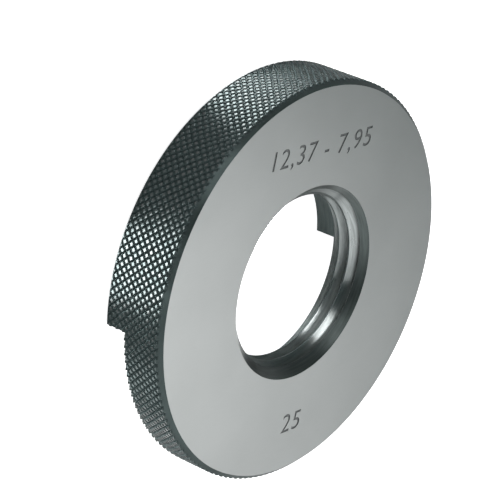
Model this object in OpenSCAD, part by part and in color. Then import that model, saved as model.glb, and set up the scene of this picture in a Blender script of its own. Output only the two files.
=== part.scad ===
// Ring gauge for a taper pipe thread, made in one piece.
// It lies on its deepest gauging face, with the marked face up. The origin is on the
// thread's axis at the base, +X runs along the engraved line and +Y points to it.
// The step line parts the back into a low half, on the +Y side, and a milled half.

/* [Blank] */
// Outside diameter of the ring
ring_d = 71; // [60:0.5:100]
// Chamfer round the edge of the marked face
face_chamfer = 0.9; // [0.3:0.1:2]
// Chamfer round the edge of the back
back_chamfer = 0.7; // [0.3:0.1:2]
// Break on the sharp edge that milling leaves
edge_break = 0.25; // [0.1:0.05:0.6]

/* [Gauging steps] */
// Nominal length of thread engaged by hand, from the marked face
gauge_length = 10.16; // [9:0.01:14]
// Turns of thread that each gauging face lies from the nominal length
step_turns = 1; // [0.5:0.25:1.5]
// Angle between the step line and the engraved line, in degrees
step_angle = 5; // [0:1:45]

/* [Thread] */
// Pitch of the thread
pitch = 2.2087; // [1.4:0.0001:2.6]
// Pitch diameter at the marked face
pitch_d = 31.461; // [29:0.001:32.5]
// Taper on the diameter for each unit of length
taper_share = 0.0625; // [0.03:0.0025:0.08]
// Angle between the flanks of the thread, in degrees
thread_angle = 60; // [55:1:65]
// Depth from the pitch line to the flat crests, as a share of the pitch
crest_share = 0.333; // [0.25:0.001:0.36]
// Depth from the pitch line to the roots, as a share of the pitch
root_share = 0.4; // [0.3:0.01:0.4]

/* [Bore ends] */
// How far the mouth of each countersink clears the thread's roots
mouth_clear = 0.64; // [0.2:0.02:0.9]
// Angle between a countersink and the axis, in degrees
mouth_angle = 45; // [30:1:60]
// Diameter of the smooth relief behind the thread
relief_d = 35.9; // [35.1:0.1:40]

/* [Hidden] */
$fn = 96;

// Heights above the base
thick_h = gauge_length + step_turns * pitch;
thin_h = gauge_length - step_turns * pitch;
step_h = thick_h - thin_h;

// Radii
ring_r = ring_d / 2;
relief_r = relief_d / 2;
crest_depth = crest_share * pitch;
root_depth = root_share * pitch;
mouth_r = pitch_d / 2 + root_depth + mouth_clear;
pilot_r = (mouth_r + relief_r) / 2;
cone_slope = taper_share / 2;
mouth_slope = tan(mouth_angle);

// Radius of the crests' cone at the marked face and at the height z
crest_face_r = pitch_d / 2 - crest_depth;
function crest_r(z) = crest_face_r - cone_slope * (thick_h - z);

// Depth of the countersinks, where their cones meet the crests' cone
front_sink = (mouth_r - crest_face_r) / (mouth_slope - cone_slope);
back_sink = (mouth_r - crest_r(step_h)) / (mouth_slope + cone_slope);

// How far a cut runs past the faces that it passes through
overrun = pitch;

// The thread's cutter. Its core is a little slimmer than the crests' cone, so that
// the crests keep the turned cone's surface.
core_clear_share = 0.06;
core_clear = core_clear_share * pitch;
segments = 96;
corners = 4;

// The cutter starts below the shoulder and ends above the marked face, in pitches
lead_in_share = 1.6;
lead_out_share = 0.1;
cutter_low = step_h - lead_in_share * pitch;
turns = ceil((thick_h - cutter_low) / pitch + lead_out_share);
rows = corners * turns;

// Width along the axis of one flank, from the pitch line to a given depth, in pitches
function flank_share(depth) = depth * tan(thread_angle / 2) / pitch;

// Where the two flanks of one thread cross the pitch line
low_flank_share = 1 / 4;
high_flank_share = 3 / 4;

// The profile's four corners over one pitch: their places in pitches, and their offsets
// from the pitch line
profile_shares = [
    low_flank_share - flank_share(crest_depth + core_clear),
    low_flank_share + flank_share(root_depth),
    high_flank_share - flank_share(root_depth),
    high_flank_share + flank_share(crest_depth + core_clear)
];
profile_offsets = [
    -crest_depth - core_clear,
    root_depth,
    root_depth,
    -crest_depth - core_clear
];

// One point of the cutter's side: row k counts profile corners upwards, and i counts
// segments round the axis. The height grows with the angle, as on a right-hand thread.
function thread_point(k, i) =
    let (
        corner = k % corners,
        turn = floor(k / corners) + profile_shares[corner] - profile_shares[0],
        z = cutter_low + (turn + i / segments) * pitch,
        r = pitch_d / 2 - cone_slope * (thick_h - z) + profile_offsets[corner],
        a = 360 * i / segments
    )
    [r * cos(a), r * sin(a), z];

function at(k, i) = i < segments ? k * segments + i : (k + corners) * segments;

module thread_cutter() {
    low_centre = (rows + 1) * segments;
    high_centre = low_centre + 1;
    points = concat(
        [for (k = [0:rows]) for (i = [0:segments - 1]) thread_point(k, i)],
        [
            [0, 0, cutter_low + pitch / 2],
            [0, 0, cutter_low + (turns + 1 / 2) * pitch]
        ]
    );
    low_rim = concat(
        [for (i = [0:segments]) at(0, i)],
        [for (k = [corners - 1:-1:1]) at(k, 0)]
    );
    high_rim = concat(
        [for (i = [0:segments - 1]) at(rows, i)],
        [for (k = [1:corners]) at(rows - k, segments - 1)]
    );
    side = [
        for (k = [0:rows - 1])
            for (i = [0:segments - 1])
                if (i < segments - 1 || k < rows - corners)
                    each [
                        [at(k, i), at(k + 1, i), at(k + 1, i + 1)],
                        [at(k, i), at(k + 1, i + 1), at(k, i + 1)]
                    ]
    ];
    low_cap = [
        for (n = [0:len(low_rim) - 1])
            [low_centre, low_rim[n], low_rim[(n + 1) % len(low_rim)]]
    ];
    high_cap = [
        for (n = [0:len(high_rim) - 1])
            [high_centre, high_rim[(n + 1) % len(high_rim)], high_rim[n]]
    ];
    polyhedron(points = points, faces = concat(side, low_cap, high_cap));
}

// The turned blank: rim with its two chamfers, and the taper bore with its countersinks.
// The back countersink runs on past the shoulder, into what the relief takes away.
module turned_blank() {
    rotate_extrude()
        polygon([
            [pilot_r, 0],
            [ring_r - back_chamfer, 0],
            [ring_r, back_chamfer],
            [ring_r, thick_h - face_chamfer],
            [ring_r - face_chamfer, thick_h],
            [mouth_r, thick_h],
            [crest_r(thick_h - front_sink), thick_h - front_sink],
            [crest_r(step_h + back_sink), step_h + back_sink],
            [pilot_r, step_h - (pilot_r - mouth_r) / mouth_slope]
        ]);
}

// What leaves the back down to the shoulder: the round relief behind the thread, and
// all that lies on the -Y side of the step line
module relief_and_milled_half() {
    translate([0, 0, -overrun])
        linear_extrude(step_h + overrun) {
            circle(relief_r);
            translate([-ring_r - overrun, -ring_r - overrun])
                square([2 * (ring_r + overrun), ring_r + overrun]);
        }
}

// The break on the outer edge that milling leaves
module milled_edge_break() {
    rotate_extrude(angle = 180, start = 180)
        polygon([
            [ring_r - edge_break - overrun, step_h - overrun],
            [ring_r + overrun, step_h - overrun],
            [ring_r + overrun, step_h + edge_break + overrun]
        ]);
}

module gauge_ring() {
    color("gray")
        difference() {
            turned_blank();
            rotate([0, 0, step_angle]) {
                relief_and_milled_half();
                milled_edge_break();
            }
            thread_cutter();
        }
}

gauge_ring();
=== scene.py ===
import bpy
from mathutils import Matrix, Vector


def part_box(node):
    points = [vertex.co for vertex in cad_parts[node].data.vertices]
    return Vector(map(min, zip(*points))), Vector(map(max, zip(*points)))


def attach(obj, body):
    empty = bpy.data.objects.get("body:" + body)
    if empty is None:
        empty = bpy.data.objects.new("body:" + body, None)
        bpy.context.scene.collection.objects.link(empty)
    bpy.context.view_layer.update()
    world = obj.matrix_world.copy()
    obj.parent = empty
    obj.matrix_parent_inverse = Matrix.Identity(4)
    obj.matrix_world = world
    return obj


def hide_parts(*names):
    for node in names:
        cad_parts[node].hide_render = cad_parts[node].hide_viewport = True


bl_info = {
    "name": "Taper Thread Ring Gauge",
    "version": (1, 0, 0),
    "blender": (4, 5, 0),
    "location": "3D View > Sidebar > Ring Gauge",
    "description": "Turns, knurls, threads, mills and engraves a step-type ring gauge, and sets its studio",
    "category": "Add Mesh",
}

import math

import bmesh
import bpy
from mathutils import Matrix, Vector

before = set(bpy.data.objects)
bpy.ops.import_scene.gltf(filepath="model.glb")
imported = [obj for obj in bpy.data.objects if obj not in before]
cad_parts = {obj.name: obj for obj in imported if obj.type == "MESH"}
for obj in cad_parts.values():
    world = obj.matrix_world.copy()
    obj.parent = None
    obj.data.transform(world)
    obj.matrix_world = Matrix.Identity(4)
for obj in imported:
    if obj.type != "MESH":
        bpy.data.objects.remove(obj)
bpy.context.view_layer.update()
NODE = "gauge_ring"
CAD_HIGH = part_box(NODE)[1]
PIECE = "ring_gauge_steel"
MM = 0.001

# The pitch of the thread, and how many turns of it the two gauging faces lie apart
PITCH = 2.2087 * MM
STEP_TURNS = 2

# Points that lie closer together than this are one point
WELD = 1e-6


# Property groups: the sizes and colours that a user would change


def length(name, text, default):
    """A property that holds a length in metres."""
    return bpy.props.FloatProperty(
        name=name, description=text, default=default, min=0.0, precision=6,
        subtype="DISTANCE", unit="LENGTH",
    )


def angle(name, text, degrees):
    """A property that holds an angle, with its default given in degrees."""
    return bpy.props.FloatProperty(
        name=name, description=text, default=math.radians(degrees),
        subtype="ANGLE", unit="ROTATION",
    )


def share(name, text, default):
    """A property that holds a plain ratio."""
    return bpy.props.FloatProperty(
        name=name, description=text, default=default, min=0.0, precision=4
    )


def count(name, text, default):
    """A property that holds a whole number."""
    return bpy.props.IntProperty(name=name, description=text, default=default, min=1)


def colour(name, text, default):
    """A property that holds a linear colour."""
    return bpy.props.FloatVectorProperty(
        name=name, description=text, default=default, size=3, min=0.0, max=1.0, subtype="COLOR"
    )


class BlankSizes(bpy.types.PropertyGroup):
    """The turned and milled steel blank"""

    ring_r: length("Radius", "Outside radius, over the tops of the knurl", CAD_HIGH.x)
    face_z: length("Marked face", "Height of the marked face above the base", CAD_HIGH.z)
    step_h: length("Step", "Height of the milled gauging face above the base", STEP_TURNS * PITCH)
    face_chamfer: length("Face chamfer", "Chamfer round the marked face", 0.9 * MM)
    back_chamfer: length("Back chamfer", "Chamfer round the back", 0.7 * MM)
    edge_break: length("Edge break", "Break on the edge that milling leaves", 0.25 * MM)
    step_angle: angle("Step line", "Angle between the step line and the engraved line", 5)
    mouth_r: length("Countersink", "Radius of the mouth of each countersink", 17.254 * MM)
    mouth_angle: angle("Countersink angle", "Angle between a countersink and the axis", 45)
    relief_r: length("Relief", "Radius of the smooth relief behind the thread", 17.95 * MM)
    segments: count("Segments", "Straight stretches in each turned circle", 240)


class ThreadSizes(bpy.types.PropertyGroup):
    """The taper pipe thread in the bore"""

    pitch: length("Pitch", "Pitch of the thread", PITCH)
    pitch_r: length("Pitch radius", "Pitch radius at the marked face", 15.7305 * MM)
    cone_slope: share("Cone slope", "Growth of the radius for each unit of height", 1 / 32)
    flank_angle: angle("Flank angle", "Angle between one flank and the radius", 30)
    crest_share: share("Crest share", "Depth of the crests from the pitch line, in pitches", 0.333)
    root_share: share("Root share", "Depth of the roots from the pitch line, in pitches", 0.4)
    segments: count("Segments", "Straight stretches in one turn of the thread", 180)


class KnurlSizes(bpy.types.PropertyGroup):
    """The diamond knurl on the rim"""

    starts: count("Starts", "Grooves round the rim in each direction", 156)
    row_pitch: length("Row pitch", "Distance between diamonds along the axis", 1.45 * MM)
    groove_depth: length("Groove depth", "Depth of the knurl grooves", 0.36 * MM)
    groove_share: share("Groove share", "Width of a groove, in pitches", 0.49)
    crown_share: share("Crown share", "Place where the top of a diamond starts, in pitches", 0.32)
    crown_drop: length("Crown drop", "How far the edge of a diamond lies below its top", 0.02 * MM)
    core_r: length("Core", "Radius of the hole that the bore cuts away later", 9 * MM)
    spare: length("Spare", "How far the knurl runs past both faces before they are turned", 0.9 * MM)


class NumberSizes(bpy.types.PropertyGroup):
    """The plain numbers engraved on the marked face"""

    upper: bpy.props.StringProperty(
        name="Upper line", description="The two gauging heights in millimetres", default="12,37 - 7,95"
    )
    lower: bpy.props.StringProperty(
        name="Lower line", description="Nominal bore in millimetres", default="25"
    )
    upper_at: bpy.props.FloatVectorProperty(
        name="Upper place", description="Middle of the upper line's base", size=2,
        default=(0.2 * MM, 22.25 * MM), subtype="XYZ",
    )
    lower_at: bpy.props.FloatVectorProperty(
        name="Lower place", description="Middle of the lower line's base", size=2,
        default=(0.9 * MM, -27.6 * MM), subtype="XYZ",
    )
    height: length("Height", "Height of the numbers", 3.55 * MM)
    slant: share("Slant", "Lean of the numbers", 0.12)
    spacing: share("Spacing", "Room for each number, as a share of the typeface's own", 1.12)
    curve_steps: count("Curve steps", "Straight stretches in each curve of a number", 4)
    depth: length("Depth", "Depth of the engraving", 0.12 * MM)


class FinishColours(bpy.types.PropertyGroup):
    """The colours of the finished surfaces"""

    ground: colour("Ground steel", "The ground flat faces", (0.41, 0.418, 0.414))
    turned: colour("Turned steel", "The chamfers", (0.047, 0.061, 0.06))
    milled: colour("Milled steel", "The step's wall and the relief", (0.072, 0.09, 0.088))
    sink: colour("Countersinks", "The countersinks at both ends of the bore", (0.059, 0.07, 0.068))
    # Painted shade: the crests are coloured far darker than the thread's flanks, to show the dark lines of
    # shade that they mirror
    crest: colour("Crests", "The flat crests of the thread", (0.044, 0.054, 0.054))
    knurled: colour("Knurled steel", "The tops of the knurl", (0.053, 0.057, 0.0565))
    groove: colour("Knurl grooves", "The grooves of the knurl", (0.066, 0.088, 0.088))
    thread: colour("Thread", "The ground flanks of the thread", (0.24, 0.256, 0.254))
    number: colour("Engraving", "The floor of the engraved numbers", (0.13, 0.135, 0.135))


class StudioSettings(bpy.types.PropertyGroup):
    """The floor, the backdrop, the ceiling and the camera"""

    floor_size: length("Floor", "Side of the floor", 3.0)
    backdrop: colour("Backdrop", "Floor and background", (1.0, 1.0, 1.0))
    ceiling: colour("Ceiling", "The dark room above the ring", (0.065, 0.098, 0.098))
    aim: bpy.props.FloatVectorProperty(
        name="Aim", description="Point that the camera looks at", size=3,
        default=(-15.506 * MM, 9.453 * MM, 12.369 * MM), subtype="XYZ",
    )
    distance: length("Distance", "From the aim to the camera", 434.55 * MM)
    azimuth: angle("Azimuth", "Direction of the camera round the axis", 153.743)
    elevation: angle("Elevation", "Height of the camera above the marked face", 35.709)
    roll: angle("Roll", "Turn of the camera about its line of sight", 112.629)
    lens: bpy.props.FloatProperty(
        name="Lens", description="Focal length", default=192.628, subtype="DISTANCE_CAMERA"
    )


# Node helpers


def wire(tree, value, socket):
    """Feed a socket from another socket, or set it to a plain value."""
    if isinstance(value, bpy.types.NodeSocket):
        tree.links.new(value, socket)
    else:
        socket.default_value = value


def maths(tree, operation, *values):
    """One maths node, and the socket of its result."""
    node = tree.nodes.new("ShaderNodeMath")
    node.operation = operation
    for value, socket in zip(values, node.inputs):
        wire(tree, value, socket)
    return node.outputs[0]


def add(tree, *values):
    """The sum of several values."""
    total = values[0]
    for value in values[1:]:
        total = maths(tree, "ADD", total, value)
    return total


def times(tree, *values):
    """The product of several values."""
    total = values[0]
    for value in values[1:]:
        total = maths(tree, "MULTIPLY", total, value)
    return total


def minus(tree, a, b):
    """The difference of two values."""
    return maths(tree, "SUBTRACT", a, b)


def weighted(tree, *pairs):
    """The sum of several values, each times its own weight."""
    return add(tree, *(times(tree, value, weight) for value, weight in pairs))


def combine(tree, x, y, z=0.0):
    """The vector that has these three parts."""
    node = tree.nodes.new("ShaderNodeCombineXYZ")
    for value, socket in zip((x, y, z), node.inputs):
        wire(tree, value, socket)
    return node.outputs[0]


def separate(tree, vector):
    """The three parts of a vector."""
    node = tree.nodes.new("ShaderNodeSeparateXYZ")
    wire(tree, vector, node.inputs[0])
    return node.outputs


def pick(tree, index, values):
    """The value whose place in the list is index."""
    node = tree.nodes.new("GeometryNodeIndexSwitch")
    node.data_type = "FLOAT"
    while len(node.index_switch_items) < len(values):
        node.index_switch_items.new()
    wire(tree, index, node.inputs[0])
    for value, socket in zip(values, node.inputs[1:]):
        wire(tree, value, socket)
    return node.outputs[0]


def polar_place(tree, radius, turn, height):
    """The point at a radius, an angle and a height."""
    x = times(tree, radius, maths(tree, "COSINE", turn))
    y = times(tree, radius, maths(tree, "SINE", turn))
    return combine(tree, x, y, height)


def new_geometry_tree(name, inputs):
    """An empty Geometry Nodes tree with named inputs. Inputs are (name, socket kind) pairs."""
    tree = bpy.data.node_groups.new(name, "GeometryNodeTree")
    tree.interface.new_socket("Geometry", in_out="OUTPUT", socket_type="NodeSocketGeometry")
    keys = {}
    for label, kind in inputs:
        keys[label] = tree.interface.new_socket(label, in_out="INPUT", socket_type=kind).identifier
    given = tree.nodes.new("NodeGroupInput")
    return tree, {label: given.outputs[label] for label in keys}, keys


def grid_lines(tree, columns, rows):
    """A grid mesh, with the column and the row of each of its points."""
    grid = tree.nodes.new("GeometryNodeMeshGrid")
    wire(tree, columns, grid.inputs["Vertices X"])
    wire(tree, rows, grid.inputs["Vertices Y"])
    index = tree.nodes.new("GeometryNodeInputIndex").outputs[0]
    column = maths(tree, "FLOOR", maths(tree, "DIVIDE", index, rows))
    row = minus(tree, index, times(tree, column, rows))
    return grid.outputs["Mesh"], column, row


def close_tree(tree, mesh, position, material):
    """Place the points, weld the seams, and give the faces their finish."""
    place = tree.nodes.new("GeometryNodeSetPosition")
    weld = tree.nodes.new("GeometryNodeMergeByDistance")
    real = tree.nodes.new("GeometryNodeRealizeInstances")
    coat = tree.nodes.new("GeometryNodeSetMaterial")
    result = tree.nodes.new("NodeGroupOutput")
    wire(tree, mesh, place.inputs["Geometry"])
    wire(tree, position, place.inputs["Position"])
    wire(tree, place.outputs[0], weld.inputs["Geometry"])
    wire(tree, WELD, weld.inputs["Distance"])
    wire(tree, weld.outputs[0], real.inputs[0])
    wire(tree, real.outputs[0], coat.inputs["Geometry"])
    wire(tree, material, coat.inputs["Material"])
    wire(tree, coat.outputs[0], result.inputs[0])


# Geometry Nodes: the knurl


KNURL_INPUTS = [
    ("Radius", "NodeSocketFloat"),
    ("Core radius", "NodeSocketFloat"),
    ("Lowest", "NodeSocketFloat"),
    ("Starts", "NodeSocketInt"),
    ("Row pitch", "NodeSocketFloat"),
    ("Rows", "NodeSocketInt"),
    ("Groove depth", "NodeSocketFloat"),
    ("Groove share", "NodeSocketFloat"),
    ("Crown share", "NodeSocketFloat"),
    ("Crown drop", "NodeSocketFloat"),
    ("Finish", "NodeSocketMaterial"),
]
# Grid lines for each groove and its diamond, and rows that close the tube at each end
KNURL_LINES = 5
CLOSING_ROWS = 2


def knurl_tree():
    """A thick tube whose outside is cut by two sets of helical grooves.

    The grid's lines follow the two sets: a column counts lines of the first set round the
    rim, and a row steps back along the second set, which also raises the point.
    """
    tree, given, keys = new_geometry_tree("Diamond knurl", KNURL_INPUTS)
    half_groove = times(tree, given["Groove share"], 0.5)
    places = [0.0, half_groove, given["Crown share"],
              minus(tree, 1.0, given["Crown share"]), minus(tree, 1.0, half_groove)]
    depths = [given["Groove depth"], given["Crown drop"], 0.0, 0.0, given["Crown drop"]]

    steps = times(tree, given["Rows"], KNURL_LINES)
    last_row = add(tree, steps, 2 * CLOSING_ROWS)
    last_column = times(tree, given["Starts"], KNURL_LINES)
    mesh, column, row = grid_lines(tree, add(tree, last_column, 1), add(tree, last_row, 1))
    step = maths(tree, "MAXIMUM", minus(tree, row, CLOSING_ROWS), 0)
    step = maths(tree, "MINIMUM", step, steps)

    def line(number):
        """Where a grid line lies, in grooves from the first one, and how deep it is."""
        whole = maths(tree, "FLOOR", maths(tree, "DIVIDE", number, KNURL_LINES))
        rest = minus(tree, number, times(tree, whole, KNURL_LINES))
        return add(tree, whole, pick(tree, rest, places)), pick(tree, rest, depths)

    first, first_depth = line(column)
    second, second_depth = line(minus(tree, column, step))
    turn = maths(tree, "DIVIDE", times(tree, add(tree, first, second), math.pi), given["Starts"])
    half_row = times(tree, given["Row pitch"], 0.5)
    rise = times(tree, minus(tree, first, second), half_row)
    top_rise = times(tree, given["Rows"], half_row)

    groove_r = minus(tree, given["Radius"], maths(tree, "MAXIMUM", first_depth, second_depth))
    from_end = maths(tree, "MINIMUM", row, minus(tree, last_row, row))
    on_rim = maths(tree, "GREATER_THAN", from_end, CLOSING_ROWS - 0.5)
    at_seam = maths(tree, "LESS_THAN", from_end, 0.5)
    wall = minus(tree, groove_r, given["Core radius"])
    radius = add(tree, times(tree, on_rim, wall), given["Core radius"])
    seam_rise = minus(tree, times(tree, top_rise, 0.5), rise)
    height = add(tree, given["Lowest"], rise, times(tree, at_seam, seam_rise))
    close_tree(tree, mesh, polar_place(tree, radius, turn, height), given["Finish"])
    return tree, keys


# Geometry Nodes: the thread


THREAD_INPUTS = [
    ("Pitch", "NodeSocketFloat"),
    ("Pitch radius", "NodeSocketFloat"),
    ("Face height", "NodeSocketFloat"),
    ("Cone slope", "NodeSocketFloat"),
    ("Crest depth", "NodeSocketFloat"),
    ("Root depth", "NodeSocketFloat"),
    ("Flank tangent", "NodeSocketFloat"),
    ("Lowest", "NodeSocketFloat"),
    ("Turns", "NodeSocketInt"),
    ("Segments", "NodeSocketInt"),
    ("Finish", "NodeSocketMaterial"),
]
THREAD_CORNERS = 4
# In pitches: the middle of the cutter's profile, and half its width at the pitch line
PROFILE_MIDDLE = 0.5
HALF_GROOVE = 0.25
# In pitches: how far below the step the cutter starts, and how far it reaches inside the
# crests' cone
LEAD_IN_SHARE = 1.6
CORE_CLEAR_SHARE = 0.06


def thread_tree():
    """The right-hand helical cutter of the taper thread, drawn to a point at both ends."""
    tree, given, keys = new_geometry_tree("Taper thread cutter", THREAD_INPUTS)

    def width_share(depth):
        """Width of one flank down to a depth, in pitches."""
        return maths(tree, "DIVIDE", times(tree, depth, given["Flank tangent"]), given["Pitch"])

    crest = given["Crest depth"]
    root = given["Root depth"]
    half_crest = add(tree, HALF_GROOVE, width_share(crest))
    half_root = minus(tree, HALF_GROOVE, width_share(root))
    places = [minus(tree, PROFILE_MIDDLE, half_crest), minus(tree, PROFILE_MIDDLE, half_root),
              add(tree, PROFILE_MIDDLE, half_root), add(tree, PROFILE_MIDDLE, half_crest)]
    offsets = [minus(tree, 0.0, crest), root, root, minus(tree, 0.0, crest)]

    last = times(tree, given["Turns"], given["Segments"])
    mesh, column, row = grid_lines(tree, add(tree, last, 1), THREAD_CORNERS + 1)
    corner = maths(tree, "MODULO", row, THREAD_CORNERS)
    turns = maths(tree, "DIVIDE", column, given["Segments"])
    from_end = maths(tree, "MINIMUM", column, minus(tree, last, column))
    inside = maths(tree, "GREATER_THAN", from_end, 0.5)
    from_middle = minus(tree, pick(tree, corner, places), PROFILE_MIDDLE)
    place = add(tree, PROFILE_MIDDLE, times(tree, inside, from_middle))
    offset = times(tree, inside, pick(tree, corner, offsets))
    height = add(tree, given["Lowest"], times(tree, add(tree, turns, place), given["Pitch"]))
    below_face = minus(tree, given["Face height"], height)
    cone_r = minus(tree, given["Pitch radius"], times(tree, given["Cone slope"], below_face))
    radius = add(tree, cone_r, offset)
    turn = times(tree, turns, 2 * math.pi)
    close_tree(tree, mesh, polar_place(tree, radius, turn, height), given["Finish"])
    return tree, keys


# Materials


# How far the top of a diamond leans over its own width
TOP_TILT = 0.08 * MM
# How far down from the knurl's tops the wear reaches, as a share of the groove depth
WORN_SHARE = 0.15
# Rotation of the highlights that lays them across the tangent
QUARTER_TURN = 0.25


def new_material(name, base, metallic, roughness, sheen=0.5, edge=1.0):
    """A new material's tree, and its shader with plain values on its own sockets.

    Sheen is the mirror part of what isn't metal, and edge the tone of metal seen edge-on.
    """
    material = bpy.data.materials.new(name)
    material.use_nodes = True
    shader = material.node_tree.nodes["Principled BSDF"]
    shader.inputs["Base Color"].default_value = (*base, 1.0)
    shader.inputs["Metallic"].default_value = metallic
    shader.inputs["Roughness"].default_value = roughness
    shader.inputs["Specular IOR Level"].default_value = sheen
    shader.inputs["Specular Tint"].default_value = (edge, edge, edge, 1.0)
    return material.node_tree, shader


def finish(name):
    """A material that has been made already."""
    return bpy.data.materials[name]


def object_place(tree):
    """The Object coordinates of the shaded point."""
    return tree.nodes.new("ShaderNodeTexCoord").outputs["Object"]


def noise(tree, place, scale, detail, stretch=(1.0, 1.0, 1.0)):
    """A noise texture on stretched coordinates."""
    mapping = tree.nodes.new("ShaderNodeMapping")
    mapping.inputs["Scale"].default_value = stretch
    texture = tree.nodes.new("ShaderNodeTexNoise")
    texture.inputs["Scale"].default_value = scale
    texture.inputs["Detail"].default_value = detail
    wire(tree, place, mapping.inputs["Vector"])
    wire(tree, mapping.outputs[0], texture.inputs["Vector"])
    return texture.outputs["Fac"]


def ramp(tree, value, span, result=(0.0, 1.0)):
    """A straight map of one span of values to another, held at its ends."""
    node = tree.nodes.new("ShaderNodeMapRange")
    wire(tree, value, node.inputs["Value"])
    for label, number in zip(("From Min", "From Max", "To Min", "To Max"), (*span, *result)):
        wire(tree, number, node.inputs[label])
    return node.outputs[0]


def toned(base, factor):
    """A colour made darker or lighter by a factor."""
    return tuple(channel * factor for channel in base)


def paint(tree, socket, factor, low, high):
    """Feed a colour socket with a mix of two colours."""
    mix = tree.nodes.new("ShaderNodeMix")
    mix.data_type = "RGBA"
    mix.inputs["A"].default_value = (*low, 1.0)
    mix.inputs["B"].default_value = (*high, 1.0)
    wire(tree, factor, mix.inputs["Factor"])
    wire(tree, mix.outputs["Result"], socket)


def bump(tree, shader, height, strength, distance):
    """Raise the surface by a height from 0 to 1 over a distance."""
    node = tree.nodes.new("ShaderNodeBump")
    node.inputs["Strength"].default_value = strength
    node.inputs["Distance"].default_value = distance
    wire(tree, height, node.inputs["Height"])
    wire(tree, node.outputs[0], shader.inputs["Normal"])


def axis_distance(tree, place):
    """Distance of the shaded point from the axis, and its height."""
    x, y, z = separate(tree, place)
    radius = maths(tree, "SQRT", add(tree, times(tree, x, x), times(tree, y, y)))
    return radius, z


def ring_place(tree, place, scale):
    """Coordinates that vary only across turned lines: distance from the axis and height."""
    radius, z = axis_distance(tree, place)
    return combine(tree, times(tree, radius, scale), times(tree, z, scale))


def streak_place(tree, place, along, across, height_share):
    """Coordinates that vary slowly along the turned lines and fast across them."""
    radius, z = axis_distance(tree, place)
    level = tree.nodes.new("ShaderNodeVectorMath")
    level.operation = "NORMALIZE"
    wire(tree, place, level.inputs[0])
    x, y, _ = separate(tree, level.outputs[0])
    depth = add(tree, radius, times(tree, z, height_share))
    return combine(tree, times(tree, x, along), times(tree, y, along), times(tree, depth, across))


def stretch_across(tree, shader, place, amount):
    """Stretch the highlights across the turned lines, which run round the axis."""
    x, y, _ = separate(tree, place)
    wire(tree, combine(tree, minus(tree, 0.0, y), x), shader.inputs["Tangent"])
    shader.inputs["Anisotropic"].default_value = amount
    shader.inputs["Anisotropic Rotation"].default_value = QUARTER_TURN


def ground_steel(colours):
    """Surface-ground steel: fine straight lines and faint clouds."""
    base = colours.ground
    tree, shader = new_material("Ground steel", base, metallic=1.0, roughness=0.36)
    place = object_place(tree)
    lines = noise(tree, place, scale=1.0, detail=3.0, stretch=(250.0, 6000.0, 1.0))
    clouds = noise(tree, place, scale=70.0, detail=3.0)
    tone = ramp(tree, weighted(tree, (lines, 0.35), (clouds, 0.65)), (0.3, 0.7))
    paint(tree, shader.inputs["Base Color"], tone, toned(base, 0.94), toned(base, 1.04))
    wire(tree, ramp(tree, lines, (0.25, 0.75), (0.32, 0.4)), shader.inputs["Roughness"])
    bump(tree, shader, lines, strength=0.12, distance=0.004 * MM)


def turned_steel(name, base, metallic, roughness, line_depth, edge, stretch):
    """Turned steel: fine rings left by the tool, broader streaks and patches of darker skin."""
    tree, shader = new_material(name, base, metallic, roughness, sheen=0.2, edge=edge)
    place = object_place(tree)
    stretch_across(tree, shader, place, stretch)
    rings = noise(tree, ring_place(tree, place, scale=9000.0), scale=1.0, detail=2.0)
    streak = streak_place(tree, place, along=4.0, across=2200.0, height_share=0.7)
    streaks = noise(tree, streak, scale=1.0, detail=3.0)
    patches = noise(tree, place, scale=180.0, detail=4.0)
    skin = weighted(tree, (rings, 0.25), (streaks, 0.5), (patches, 0.25))
    tone = ramp(tree, skin, (0.35, 0.65))
    paint(tree, shader.inputs["Base Color"], tone, toned(base, 0.7), toned(base, 1.3))
    dullness = ramp(tree, patches, (0.3, 0.7), (roughness - 0.05, roughness + 0.07))
    wire(tree, dullness, shader.inputs["Roughness"])
    bump(tree, shader, rings, strength=0.3, distance=line_depth)


def knurled_steel(colours, blank, knurl):
    """Knurled steel: worn tops over dull grooves. Each top has its own tone and tilt."""
    metallic = 0.75
    tree, shader = new_material(
        "Knurled steel", colours.knurled, metallic, roughness=0.3, sheen=0.05, edge=0.0
    )
    place = object_place(tree)
    radius, z = axis_distance(tree, place)
    first, second = knurl_lines(tree, place, z, knurl)
    tone, first_tilt, second_tilt = own_values(tree, first, second)
    grain = noise(tree, place, scale=2500.0, detail=3.0)
    patches = noise(tree, place, scale=220.0, detail=3.0)
    worn_to = blank.ring_r - WORN_SHARE * knurl.groove_depth
    top = ramp(tree, radius, (worn_to, blank.ring_r - knurl.crown_drop))
    patch_wear = ramp(tree, patches, (0.3, 0.7), (0.8, 1.0))
    own_wear = ramp(tree, tone, (0.0, 1.0), (0.55, 1.0))
    worn = times(tree, top, patch_wear, own_wear)
    paint(tree, shader.inputs["Base Color"], worn, colours.groove, colours.knurled)
    wire(tree, times(tree, worn, metallic), shader.inputs["Metallic"])
    dullness = ramp(tree, top, (0.0, 1.0), (0.5, 0.24))
    wire(tree, add(tree, dullness, times(tree, grain, 0.08)), shader.inputs["Roughness"])
    tilt = weighted(
        tree,
        (minus(tree, first_tilt, 0.5), maths(tree, "FRACT", first)),
        (minus(tree, second_tilt, 0.5), maths(tree, "FRACT", second)),
        (grain, 0.05),
    )
    bump(tree, shader, tilt, strength=1.0, distance=TOP_TILT)


def knurl_lines(tree, place, z, knurl):
    """How many lines of each set of grooves lie before the shaded point."""
    x, y, _ = separate(tree, place)
    along = times(tree, maths(tree, "ARCTAN2", y, x), knurl.starts / (2 * math.pi))
    rise = times(tree, add(tree, z, knurl.spare), 1 / knurl.row_pitch)
    return add(tree, along, rise), minus(tree, along, rise)


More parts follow.
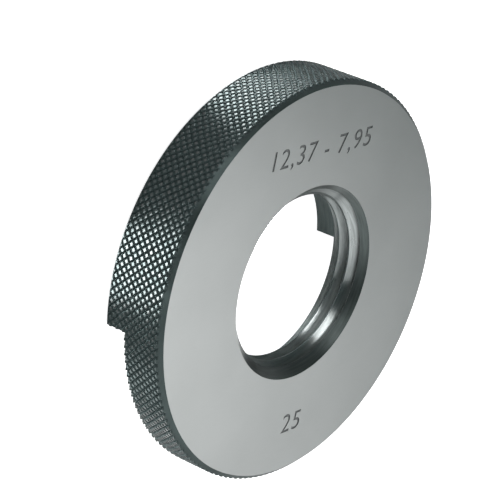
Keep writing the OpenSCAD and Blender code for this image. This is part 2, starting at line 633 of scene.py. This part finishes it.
def own_values(tree, first, second):
    """Three random numbers from 0 to 1 that each diamond of the knurl has for itself."""
    cell = combine(tree, maths(tree, "FLOOR", first), maths(tree, "FLOOR", second))
    chance = tree.nodes.new("ShaderNodeTexWhiteNoise")
    chance.noise_dimensions = "2D"
    wire(tree, cell, chance.inputs["Vector"])
    return separate(tree, chance.outputs["Color"])


def engraved_steel(colours):
    """The floor and walls of the engraving."""
    base = colours.number
    tree, shader = new_material("Engraved steel", base, metallic=0.6, roughness=0.5)
    grain = noise(tree, object_place(tree), scale=3000.0, detail=2.0)
    paint(tree, shader.inputs["Base Color"], grain, toned(base, 0.7), toned(base, 1.3))
    bump(tree, shader, grain, strength=0.3, distance=0.01 * MM)


# Meshes, and the cutters: closed solids, each with its own finish


# Height of the numerals of Blender's own typeface, as a share of the size of the text
CAP_SHARE = 0.73


def weld_mesh(mesh):
    """Merge points that lie together and turn the faces outwards."""
    work = bmesh.new()
    work.from_mesh(mesh)
    bmesh.ops.remove_doubles(work, verts=work.verts, dist=WELD)
    bmesh.ops.recalc_face_normals(work, faces=work.faces)
    work.to_mesh(mesh)
    work.free()


def plain_mesh(maker):
    """The mesh of an object as it is evaluated. The object is deleted."""
    bpy.context.scene.collection.objects.link(maker)
    graph = bpy.context.evaluated_depsgraph_get()
    mesh = bpy.data.meshes.new_from_object(maker.evaluated_get(graph))
    maker.modifiers.clear()
    bpy.data.objects.remove(maker)
    weld_mesh(mesh)
    return mesh


def grown_mesh(name, tree, keys, values):
    """The plain mesh that a tree makes from the given values."""
    seed = bpy.data.objects.new(name, bpy.data.meshes.new(name))
    modifier = seed.modifiers.new(name, "NODES")
    modifier.node_group = tree
    for label, value in values.items():
        modifier[keys[label]] = value
    return plain_mesh(seed)


def new_piece(name, mesh):
    """An object at the origin that holds the mesh."""
    piece = bpy.data.objects.new(name, mesh)
    bpy.context.scene.collection.objects.link(piece)
    return piece


def built(name, points, faces, finishes, slots=None):
    """A piece made from points and faces. Slots gives each face's place in the finishes."""
    mesh = bpy.data.meshes.new(name)
    mesh.from_pydata(points, [], faces)
    for label in finishes:
        mesh.materials.append(finish(label))
    if slots:
        mesh.polygons.foreach_set("material_index", slots)
    return new_piece(name, mesh)


def on_circle(radius, turn):
    """The (x, y) point of a circle at an angle."""
    return radius * math.cos(turn), radius * math.sin(turn)


def revolved(name, profile, segments, finishes):
    """A solid turned from a profile of (radius, height) points, counter-clockwise.

    A point on the axis becomes one pole. Each stretch of the profile takes the finish
    whose place in finishes is its own.
    """
    points = []
    rings = []
    for radius, height in profile:
        first = len(points)
        if radius == 0:
            rings.append([first] * segments)
            points.append((0.0, 0.0, height))
        else:
            rings.append([first + s for s in range(segments)])
            for s in range(segments):
                points.append((*on_circle(radius, 2 * math.pi * s / segments), height))
    names = sorted(set(finishes))
    faces = []
    slots = []
    for low, high, label in zip(rings, rings[1:] + rings[:1], finishes):
        for s in range(segments):
            t = (s + 1) % segments
            corners = list(dict.fromkeys((low[s], low[t], high[t], high[s])))
            if len(corners) > 2:
                faces.append(corners)
                slots.append(names.index(label))
    return built(name, points, faces, names, slots)


def extruded(name, outline, low, high, end_finish, wall_finish):
    """A solid pulled straight up from a counter-clockwise outline of (x, y) points."""
    n = len(outline)
    points = [(x, y, z) for z in (low, high) for x, y in outline]
    faces = [list(range(n))[::-1], list(range(n, 2 * n))]
    faces += [[k, (k + 1) % n, n + (k + 1) % n, n + k] for k in range(n)]
    return built(name, points, faces, [end_finish, wall_finish], [0, 0] + [1] * n)


def outer_envelope(blank):
    """What the turned faces and chamfers leave. Its side lies outside the knurl."""
    spare = blank.face_chamfer
    r = blank.ring_r
    z = blank.face_z
    profile = [
        (0.0, 0.0),
        (r - blank.back_chamfer, 0.0),
        (r + spare, blank.back_chamfer + spare),
        (r + spare, z - blank.face_chamfer - spare),
        (r - blank.face_chamfer, z),
        (0.0, z),
    ]
    finishes = ["Ground steel"] + ["Turned steel"] * 3 + ["Ground steel"] * 2
    return revolved("Envelope", profile, blank.segments, finishes)


def crest_radius(blank, thread, z):
    """Radius of the thread's crests at a height."""
    face_r = thread.pitch_r - thread.crest_share * thread.pitch
    return face_r - thread.cone_slope * (blank.face_z - z)


def bore_cutter(blank, thread):
    """The taper bore with its two countersinks."""
    over = thread.pitch
    slope = math.tan(blank.mouth_angle)
    pilot_r = (blank.mouth_r + blank.relief_r) / 2
    face_crest = crest_radius(blank, thread, blank.face_z)
    step_crest = crest_radius(blank, thread, blank.step_h)
    front = (blank.mouth_r - face_crest) / (slope - thread.cone_slope)
    back = (blank.mouth_r - step_crest) / (slope + thread.cone_slope)
    profile = [
        (0.0, -over),
        (pilot_r, -over),
        (pilot_r, blank.step_h - (pilot_r - blank.mouth_r) / slope),
        (crest_radius(blank, thread, blank.step_h + back), blank.step_h + back),
        (crest_radius(blank, thread, blank.face_z - front), blank.face_z - front),
        (blank.mouth_r + over * slope, blank.face_z + over),
        (0.0, blank.face_z + over),
    ]
    # The crest stretches take the crest steel, whose dark colour is painted shade
    finishes = ["Crest steel"] * 4 + ["Countersink steel"] * 3
    return revolved("Bore", profile, blank.segments, finishes)


def back_cutter(blank):
    """The relief behind the thread and the milled half, as one cutter up to the step."""
    far = 2 * blank.ring_r
    half = blank.segments // 2
    arc = [on_circle(blank.relief_r, math.pi * k / half) for k in range(half + 1)]
    outline = [(-far, 0.0), (-far, -far), (far, -far), (far, 0.0)] + arc
    cos = math.cos(blank.step_angle)
    sin = math.sin(blank.step_angle)
    turned = [(x * cos - y * sin, x * sin + y * cos) for x, y in outline]
    return extruded("Back", turned, -blank.step_h, blank.step_h, "Ground steel", "Milled steel")


def edge_break_cutter(blank):
    """The small chamfer on the milled half's outer edge, as a half ring of triangles."""
    over = blank.face_chamfer
    profile = [
        (blank.ring_r - blank.edge_break - over, blank.step_h - over),
        (blank.ring_r + over, blank.step_h - over),
        (blank.ring_r + over, blank.step_h + blank.edge_break + over),
    ]
    n = len(profile)
    half = blank.segments // 2
    points = []
    for k in range(half + 1):
        turn = math.pi + blank.step_angle + math.pi * k / half
        points += [(*on_circle(radius, turn), height) for radius, height in profile]
    faces = [list(range(n))[::-1], [n * half + c for c in range(n)]]
    for k in range(half):
        for c in range(n):
            d = (c + 1) % n
            faces.append([n * k + c, n * k + d, n * (k + 1) + d, n * (k + 1) + c])
    return built("Edge break", points, faces, ["Turned steel"])


def number_cutter(name, words, at, blank, numbers):
    """A line of numbers as a solid that reaches down into the marked face."""
    curve = bpy.data.curves.new(name, "FONT")
    curve.body = words
    curve.align_x = "CENTER"
    curve.size = numbers.height / CAP_SHARE
    curve.shear = numbers.slant
    curve.space_character = numbers.spacing
    curve.extrude = numbers.depth
    curve.resolution_u = numbers.curve_steps
    mesh = plain_mesh(bpy.data.objects.new(name, curve))
    mesh.transform(Matrix.Translation((*at, blank.face_z)))
    mesh.materials.clear()
    mesh.materials.append(finish("Engraved steel"))
    return new_piece(name, mesh)


def cut(piece, cutters, operation="DIFFERENCE"):
    """Cut the piece with each cutter in turn, or keep what they share. The cutters go."""
    for cutter in cutters:
        step = piece.modifiers.new(cutter.name, "BOOLEAN")
        step.object = cutter
        step.operation = operation
        step.solver = "MANIFOLD"
        step.material_mode = "TRANSFER"
    graph = bpy.context.evaluated_depsgraph_get()
    mesh = bpy.data.meshes.new_from_object(piece.evaluated_get(graph))
    piece.modifiers.clear()
    piece.data = mesh
    for cutter in cutters:
        bpy.data.objects.remove(cutter)


def drop_empty_slots(mesh):
    """Leave only the material slots that hold a finish."""
    kept = [material for material in mesh.materials if material]
    places = [kept.index(material) if material else 0 for material in mesh.materials]
    slots = [places[face.material_index] for face in mesh.polygons]
    mesh.materials.clear()
    for material in kept:
        mesh.materials.append(material)
    mesh.polygons.foreach_set("material_index", slots)


# The studio


# The floor's glow, and how far it lies below the ring
FLOOR_GLOW = 0.9
FLOOR_GAP = 0.02 * MM

# Sines of the elevations between which the pale wall darkens to the ceiling
WALL_TOP = math.sin(math.radians(3))
CEILING = math.sin(math.radians(28))

# Name, azimuth, elevation and roll in degrees, distance, width, height and radiance
LAMPS = [
    ("Back_lamp", 264.2, 46.2, -8.6, 0.8, 1.08, 0.98, 1.85),
    ("High_lamp", 74.0, 72.0, -33.0, 0.8, 0.28, 0.25, 14.0),
    ("Face_lamp", 328.0, 46.0, 0.0, 0.5, 0.14, 0.14, 2.6),
    ("Low_lamp", 310.0, 11.0, 0.0, 0.5, 0.24, 0.17, 1.9),
]

# The round walls that mirror the cards: the rim, and the middle of the bore's crests
RIM_R = CAD_HIGH.x
BORE_R = 15 * MM

# How far a card reaches from its wall, how high it lies, the stretches of its curved
# edges, and the share of its length over which its glow fades at each end
CARD_REACH = 24 * MM
CARD_LIFT = 0.05 * MM
CARD_STEPS = 12
CARD_FADE = 0.2

# Name, radius of the wall, the first and last azimuth in degrees at the wall and at the
# card's far side, and radiance
CARDS = [
    ("Right_card", RIM_R, (101.0, 118.5), (91.5, 124.0), 33.0),
    ("Left_card", RIM_R, (156.0, 179.5), (150.0, 177.5), 33.0),
    ("Low_card", RIM_R, (189.0, 225.0), (189.0, 225.0), 10.5),
    ("Bore_card", BORE_R, (-59.0, -34.0), (-59.0, -34.0), 12.0),
]


def from_angles(azimuth, elevation):
    """The unit vector at an azimuth and an elevation."""
    flat = math.cos(elevation)
    return Vector((flat * math.cos(azimuth), flat * math.sin(azimuth), math.sin(elevation)))


def seen_directly(tree):
    """1 where a ray comes from the camera, a mirror or glass, and 0 elsewhere."""
    path = tree.nodes.new("ShaderNodeLightPath")
    seen = maths(tree, "MAXIMUM", path.outputs["Is Camera Ray"], path.outputs["Is Glossy Ray"])
    return maths(tree, "MAXIMUM", seen, path.outputs["Is Transmission Ray"])


def glowing_white(name, glow):
    """A dull white material's tree, and the socket that says how strongly it glows."""
    tree, shader = new_material(name, (0.8, 0.8, 0.8), metallic=0.0, roughness=0.9, sheen=0.0)
    shader.inputs["Emission Color"].default_value = (*glow, 1.0)
    return tree, shader.inputs["Emission Strength"]


def lay_floor(studio):
    """A pale floor that glows to the camera and still takes the ring's shadow."""
    tree, strength = glowing_white("Floor", studio.backdrop)
    wire(tree, times(tree, seen_directly(tree), FLOOR_GLOW), strength)
    half = studio.floor_size / 2
    corners = [(-half, -half), (half, -half), (half, half), (-half, half)]
    points = [(x, y, -FLOOR_GAP) for x, y in corners]
    floor = built("Floor", points, [[0, 1, 2, 3]], ["Floor"])


def light_world(scene, studio):
    """A pale wall all round, which darkens to the ceiling above the ring."""
    world = bpy.data.worlds.new("Studio")
    scene.world = world
    world.use_nodes = True
    tree = world.node_tree
    _, _, z = separate(tree, tree.nodes.new("ShaderNodeTexCoord").outputs["Generated"])
    above = ramp(tree, z, (WALL_TOP, CEILING))
    paint(tree, tree.nodes["Background"].inputs["Color"], above, studio.backdrop, studio.ceiling)


def lay_card(name, radius, near, far, radiance, studio):
    """A bright card on the floor, whose edges lie where the camera sees it in a round wall."""
    points = []
    for k in range(CARD_STEPS + 1):
        for (first, last), reach in ((near, 0.0), (far, CARD_REACH)):
            turn = math.radians(first + (last - first) * k / CARD_STEPS)
            edge = from_angles(turn, 0.0) * radius
            mirrored = from_angles(2 * turn - studio.azimuth, 0.0)
            points.append((*(edge + mirrored * reach).xy, CARD_LIFT))
    faces = [(2 * k, 2 * k + 1, 2 * k + 3, 2 * k + 2) for k in range(CARD_STEPS)]
    tree, strength = glowing_white(name, (1.0, 1.0, 1.0))
    along, _, _ = separate(tree, tree.nodes.new("ShaderNodeUVMap").outputs[0])
    from_edge = maths(tree, "MINIMUM", along, minus(tree, 1.0, along))
    fade = ramp(tree, from_edge, (0.0, CARD_FADE), (1.0, radiance))
    wire(tree, times(tree, seen_directly(tree), fade), strength)
    finish(name).cycles.emission_sampling = "NONE"
    card = built(name, points, faces, [name])
    places = card.data.uv_layers.new(name="Along").data
    for loop in card.data.loops:
        places[loop.index].uv = (loop.vertex_index // 2 / CARD_STEPS, 0.0)


def hang_lamp(name, azimuth, elevation, roll, distance, width, height, radiance):
    """A flat lamp that faces the ring. Without roll its width is level."""
    light = bpy.data.lights.new(name, "AREA")
    light.shape = "RECTANGLE"
    light.size = width
    light.size_y = height
    light.energy = radiance * math.pi * width * height
    lamp = bpy.data.objects.new(name, light)
    lamp.visible_camera = False
    bpy.context.scene.collection.objects.link(lamp)
    place = from_angles(math.radians(azimuth), math.radians(elevation)) * distance
    lamp.matrix_world = facing(place, place, math.radians(roll))


def facing(place, back, roll):
    """The matrix that puts a lamp or camera at a place, with its back in a direction."""
    level = back.to_track_quat("Z", "Y").to_matrix().to_4x4()
    return Matrix.Translation(place) @ level @ Matrix.Rotation(roll, 4, "Z")


def set_camera(scene, studio):
    """A long lens at the photograph's angle, rolled so that the ring stands as it does there."""
    data = bpy.data.cameras.new("Camera")
    data.sensor_width = 36.0
    data.lens = studio.lens
    data.clip_end = 10.0
    camera = bpy.data.objects.new("Camera", data)
    scene.collection.objects.link(camera)
    back = from_angles(studio.azimuth, studio.elevation)
    place = Vector(studio.aim) + back * studio.distance
    camera.matrix_world = facing(place, back, studio.roll)
    scene.camera = camera
    scene.view_settings.view_transform = "Standard"


# Operators


# Edges sharper than this stay sharp in the finished ring
SHARP_ANGLE = math.radians(32)


class RINGGAUGE_OT_finishes(bpy.types.Operator):
    """Make the procedural finishes of the steel"""

    bl_idname = "ringgauge.finishes"
    bl_label = "Make Finishes"

    def execute(self, context):
        scene = context.scene
        colours = scene.gauge_colours
        ground_steel(colours)
        for name, base, metallic, roughness, line_depth, edge, stretch in (
            ("Turned steel", colours.turned, 0.67, 0.35, 0.01, 0.5, 1.0),
            ("Countersink steel", colours.sink, 0.7, 0.32, 0.01, 1.0, 0.7),
            # The crests' dark colour is painted shade for what they mirror
            ("Crest steel", colours.crest, 0.9, 0.35, 0.01, 0.5, 1.0),
            ("Thread steel", colours.thread, 1.0, 0.31, 0.012, 0.5, 1.0),
            ("Milled steel", colours.milled, 0.5, 0.35, 0.006, 0.5, 1.0),
        ):
            turned_steel(name, base, metallic, roughness, line_depth * MM, edge, stretch)
        knurled_steel(colours, scene.gauge_blank, scene.gauge_knurl)
        engraved_steel(colours)
        return {"FINISHED"}


class RINGGAUGE_OT_knurled_blank(bpy.types.Operator):
    """Grow the knurled tube that the ring is turned from"""

    bl_idname = "ringgauge.knurled_blank"
    bl_label = "Knurl the Blank"

    def execute(self, context):
        blank = context.scene.gauge_blank
        knurl = context.scene.gauge_knurl
        tree, keys = knurl_tree()
        full_height = blank.face_z + 2 * knurl.spare
        rows = 2 * math.ceil(full_height / knurl.row_pitch)
        mesh = grown_mesh("Knurled tube", tree, keys, {
            "Radius": blank.ring_r,
            "Core radius": knurl.core_r,
            "Lowest": -knurl.spare,
            "Starts": knurl.starts,
            "Row pitch": knurl.row_pitch,
            "Rows": rows,
            "Groove depth": knurl.groove_depth,
            "Groove share": knurl.groove_share,
            "Crown share": knurl.crown_share,
            "Crown drop": knurl.crown_drop,
            "Finish": finish("Knurled steel"),
        })
        new_piece(PIECE, mesh)
        return {"FINISHED"}


class RINGGAUGE_OT_turned_faces(bpy.types.Operator):
    """Turn the faces, the chamfers and the taper bore, and mill the step"""

    bl_idname = "ringgauge.turned_faces"
    bl_label = "Turn and Mill the Blank"

    def execute(self, context):
        blank = context.scene.gauge_blank
        thread = context.scene.gauge_thread
        piece = bpy.data.objects[PIECE]
        cut(piece, [outer_envelope(blank)], "INTERSECT")
        cut(piece, [back_cutter(blank), edge_break_cutter(blank), bore_cutter(blank, thread)])
        return {"FINISHED"}


class RINGGAUGE_OT_thread(bpy.types.Operator):
    """Cut the taper thread in the bore"""

    bl_idname = "ringgauge.thread"
    bl_label = "Cut the Thread"

    def execute(self, context):
        blank = context.scene.gauge_blank
        thread = context.scene.gauge_thread
        tree, keys = thread_tree()
        tangent = math.tan(thread.flank_angle)
        depth = (thread.crest_share + CORE_CLEAR_SHARE) * thread.pitch
        first_place = PROFILE_MIDDLE - HALF_GROOVE - depth * tangent / thread.pitch
        lowest = blank.step_h - (LEAD_IN_SHARE + first_place) * thread.pitch
        turns = math.ceil((blank.face_z - lowest) / thread.pitch)
        mesh = grown_mesh("Thread cutter", tree, keys, {
            "Pitch": thread.pitch,
            "Pitch radius": thread.pitch_r,
            "Face height": blank.face_z,
            "Cone slope": thread.cone_slope,
            "Crest depth": depth,
            "Root depth": thread.root_share * thread.pitch,
            "Flank tangent": tangent,
            "Lowest": lowest,
            "Turns": turns,
            "Segments": thread.segments,
            "Finish": finish("Thread steel"),
        })
        cut(bpy.data.objects[PIECE], [new_piece("Thread cutter", mesh)])
        return {"FINISHED"}


class RINGGAUGE_OT_numbers(bpy.types.Operator):
    """Engrave the plain numbers on the marked face"""

    bl_idname = "ringgauge.numbers"
    bl_label = "Engrave the Numbers"

    def execute(self, context):
        blank = context.scene.gauge_blank
        numbers = context.scene.gauge_numbers
        cut(bpy.data.objects[PIECE], [
            number_cutter("Upper line", numbers.upper, numbers.upper_at, blank, numbers),
            number_cutter("Lower line", numbers.lower, numbers.lower_at, blank, numbers),
        ])
        return {"FINISHED"}


class RINGGAUGE_OT_hand_over(bpy.types.Operator):
    """Smooth the finished ring and put it in the CAD node's place"""

    bl_idname = "ringgauge.hand_over"
    bl_label = "Finish the Ring"

    def execute(self, context):
        piece = bpy.data.objects[PIECE]
        mesh = piece.data
        drop_empty_slots(mesh)
        mesh.polygons.foreach_set("use_smooth", [True] * len(mesh.polygons))
        mesh.set_sharp_from_angle(angle=SHARP_ANGLE)
        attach(piece, "root")
        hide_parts(NODE)
        return {"FINISHED"}


class RINGGAUGE_OT_stage(bpy.types.Operator):
    """Lay the floor, hang the lamps and set the camera"""

    bl_idname = "ringgauge.stage"
    bl_label = "Set the Studio"

    def execute(self, context):
        studio = context.scene.gauge_studio
        lay_floor(studio)
        light_world(context.scene, studio)
        for card in CARDS:
            lay_card(*card, studio)
        for lamp in LAMPS:
            hang_lamp(*lamp)
        set_camera(context.scene, studio)
        return {"FINISHED"}


# Panel


GROUPS = [
    ("gauge_blank", "Blank", BlankSizes),
    ("gauge_thread", "Thread", ThreadSizes),
    ("gauge_knurl", "Knurl", KnurlSizes),
    ("gauge_numbers", "Numbers", NumberSizes),
    ("gauge_colours", "Colours", FinishColours),
    ("gauge_studio", "Studio", StudioSettings),
]
OPERATORS = [
    RINGGAUGE_OT_finishes,
    RINGGAUGE_OT_knurled_blank,
    RINGGAUGE_OT_turned_faces,
    RINGGAUGE_OT_thread,
    RINGGAUGE_OT_numbers,
    RINGGAUGE_OT_hand_over,
    RINGGAUGE_OT_stage,
]


class RINGGAUGE_PT_sidebar(bpy.types.Panel):
    """Sizes, colours and steps of the ring gauge"""

    bl_label = "Ring Gauge"
    bl_idname = "RINGGAUGE_PT_sidebar"
    bl_space_type = "VIEW_3D"
    bl_region_type = "UI"
    bl_category = "Ring Gauge"

    def draw(self, context):
        for name, title, group in GROUPS:
            box = self.layout.box()
            box.label(text=title)
            for key in group.__annotations__:
                box.prop(getattr(context.scene, name), key)
        for operator in OPERATORS:
            self.layout.operator(operator.bl_idname)


def register():
    """Add the sizes, the operators and the panel to Blender."""
    for _, _, group in GROUPS:
        bpy.utils.register_class(group)
    for name, _, group in GROUPS:
        setattr(bpy.types.Scene, name, bpy.props.PointerProperty(type=group))
    for operator in OPERATORS:
        bpy.utils.register_class(operator)
    bpy.utils.register_class(RINGGAUGE_PT_sidebar)


def unregister():
    """Take away what register adds, in the opposite order."""
    bpy.utils.unregister_class(RINGGAUGE_PT_sidebar)
    for operator in reversed(OPERATORS):
        bpy.utils.unregister_class(operator)
    for name, _, group in reversed(GROUPS):
        delattr(bpy.types.Scene, name)
        bpy.utils.unregister_class(group)


def main():
    """Register the tools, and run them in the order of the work."""
    register()
    bpy.ops.ringgauge.finishes()
    bpy.ops.ringgauge.knurled_blank()
    bpy.ops.ringgauge.turned_faces()
    bpy.ops.ringgauge.thread()
    bpy.ops.ringgauge.numbers()
    bpy.ops.ringgauge.hand_over()
    bpy.ops.ringgauge.stage()


if __name__ == "__main__":
    main()
